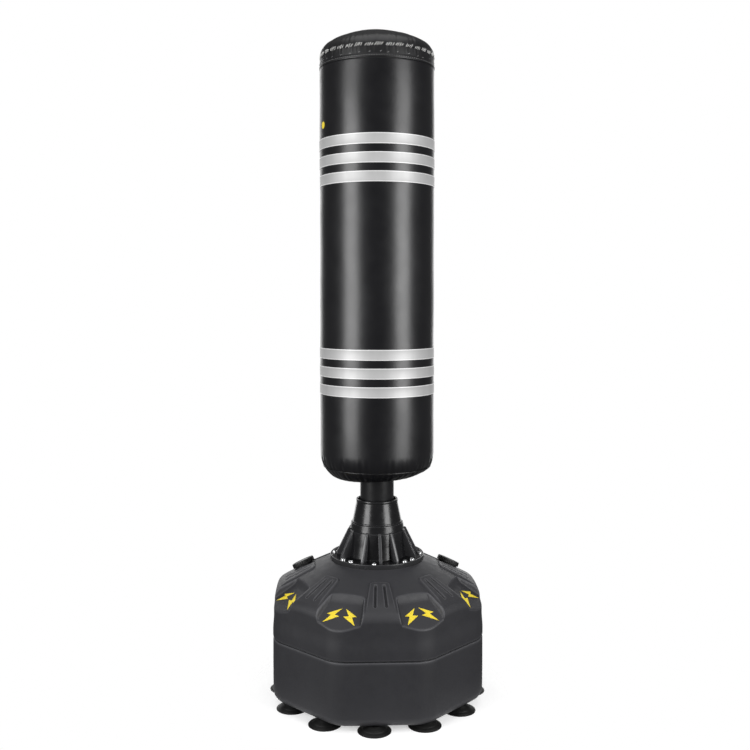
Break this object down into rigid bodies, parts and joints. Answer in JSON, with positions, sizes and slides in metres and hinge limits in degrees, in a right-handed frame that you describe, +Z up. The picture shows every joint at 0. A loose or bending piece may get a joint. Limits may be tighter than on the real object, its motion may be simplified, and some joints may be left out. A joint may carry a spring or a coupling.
{
  "type": "free-standing punching bag",
  "caption": "Padded cylindrical bag on a sprung, tilting steel post above a water-filled octagonal tank with suction-cup feet and screw fill caps.",
  "frame": {"origin": "on the floor, on the axis of the post, in the plane of the suction cups' lips", "axes": "+Z up along the post, -Y towards the front of the tank, +X to the right seen from the front"},
  "size_m": [0.572, 0.572, 1.74],
  "materials": {
    "tank_plastic": "matte",
    "water": "gloss",
    "mark_yellow": "satin",
    "black_rubber": "satin",
    "neck_plastic": "gloss",
    "cap_plastic": "satin",
    "zinc_steel": "satin",
    "brass_insert": "satin",
    "bare_steel": "satin",
    "spring_steel": "satin",
    "bumper_rubber": "matte",
    "bush_elastomer": "satin",
    "socket_nylon": "satin",
    "post_paint": "satin",
    "sleeve_plastic": "matte",
    "firm_foam": "matte",
    "soft_foam": "matte",
    "bag_leather": "satin",
    "stripe_vinyl": "satin",
    "lacing_thread": "matte"
  },
  "bodies": {
    "base": {"base_tank": "tank_plastic", "ballast_water": "water", "pocket_marks": "mark_yellow", "neck_gasket": "black_rubber", "neck_flange": "neck_plastic", "flange_screws": "zinc_steel", "threaded_inserts": "brass_insert", "spring_seat_plate": "bare_steel", "ball_stud": "bare_steel", "ball_stud_nut": "zinc_steel", "neck_collar": "neck_plastic", "spring_front": "spring_steel", "spring_right": "spring_steel", "spring_back": "spring_steel", "spring_left": "spring_steel", "bumper_front": "bumper_rubber", "bumper_right": "bumper_rubber", "bumper_back": "bumper_rubber", "bumper_left": "bumper_rubber", "suction_cup_01": "black_rubber", "suction_cup_02": "black_rubber", "suction_cup_03": "black_rubber", "suction_cup_04": "black_rubber", "suction_cup_05": "black_rubber", "suction_cup_06": "black_rubber", "suction_cup_07": "black_rubber", "suction_cup_08": "black_rubber", "suction_cup_09": "black_rubber", "suction_cup_10": "black_rubber", "suction_cup_11": "black_rubber", "suction_cup_12": "black_rubber"},
    "pivot": {"pivot_bush": "bush_elastomer"},
    "post": {"post_tube": "post_paint", "post_foot_plate": "bare_steel", "ball_socket": "socket_nylon", "socket_retainer": "socket_nylon", "socket_bolts": "zinc_steel"},
    "post_cap": {"post_end_cap": "cap_plastic"},
    "bag": {"core_sleeve": "sleeve_plastic", "inner_foam": "firm_foam", "outer_foam": "soft_foam", "top_foam": "firm_foam", "crown_foam": "soft_foam", "lacing_stitches": "lacing_thread", "side_dot": "mark_yellow", "cover_bottom_panel": "bag_leather", "cover_side_panel": "bag_leather", "cover_top_band": "bag_leather", "cover_top_panel": "bag_leather", "stripe_lower_1": "stripe_vinyl", "stripe_lower_2": "stripe_vinyl", "stripe_lower_3": "stripe_vinyl", "stripe_upper_1": "stripe_vinyl", "stripe_upper_2": "stripe_vinyl", "stripe_upper_3": "stripe_vinyl"},
    "fill_seal_left": {"fill_seal_left": "black_rubber"},
    "fill_cap_left": {"fill_cap_left": "cap_plastic"},
    "fill_seal_right": {"fill_seal_right": "black_rubber"},
    "fill_cap_right": {"fill_cap_right": "cap_plastic"}
  },
  "joints": [
    {"name": "tilt_sideways", "type": "hinge", "parent": "base", "child": "pivot", "pos_m": [0, 0, 0.478], "axis": [0, 1, 0], "range_deg": [-5, 5], "stiffness_Nm_per_rad": 900, "deforming": ["spring_right", "spring_left"]},
    {"name": "tilt_forward", "type": "hinge", "parent": "pivot", "child": "post", "pos_m": [0, 0, 0.478], "axis": [1, 0, 0], "range_deg": [-5, 5], "stiffness_Nm_per_rad": 900, "deforming": ["spring_front", "spring_back"]},
    {"name": "bag_turn", "type": "hinge", "parent": "post", "child": "post_cap", "pos_m": [0, 0, 1.5], "axis": [0, 0, 1], "continuous": true},
    {"name": "bag_lift", "type": "slide", "parent": "post_cap", "child": "bag", "axis": [0, 0, 1], "range_m": [0, 0.95]},
    {"name": "fill_cap_left_lift", "type": "slide", "parent": "base", "child": "fill_seal_left", "axis": [-0.4065, 0.1684, 0.898], "range_m": [0, 0.0121]},
    {"name": "fill_cap_left_turn", "type": "hinge", "parent": "fill_seal_left", "child": "fill_cap_left", "pos_m": [-0.19586, 0.08113, 0.31437], "axis": [-0.4065, 0.1684, 0.898], "range_deg": [0, 1080]},
    {"name": "fill_cap_right_lift", "type": "slide", "parent": "base", "child": "fill_seal_right", "axis": [0.4065, 0.1684, 0.898], "range_m": [0, 0.0121]},
    {"name": "fill_cap_right_turn", "type": "hinge", "parent": "fill_seal_right", "child": "fill_cap_right", "pos_m": [0.19586, 0.08113, 0.31437], "axis": [0.4065, 0.1684, 0.898], "range_deg": [0, 1080]}
  ],
  "couplings": [
    {"joint": "fill_cap_left_lift", "follows": "fill_cap_left_turn", "m_per_rad": 0.00063662},
    {"joint": "fill_cap_right_lift", "follows": "fill_cap_right_turn", "m_per_rad": 0.00063662}
  ]
}
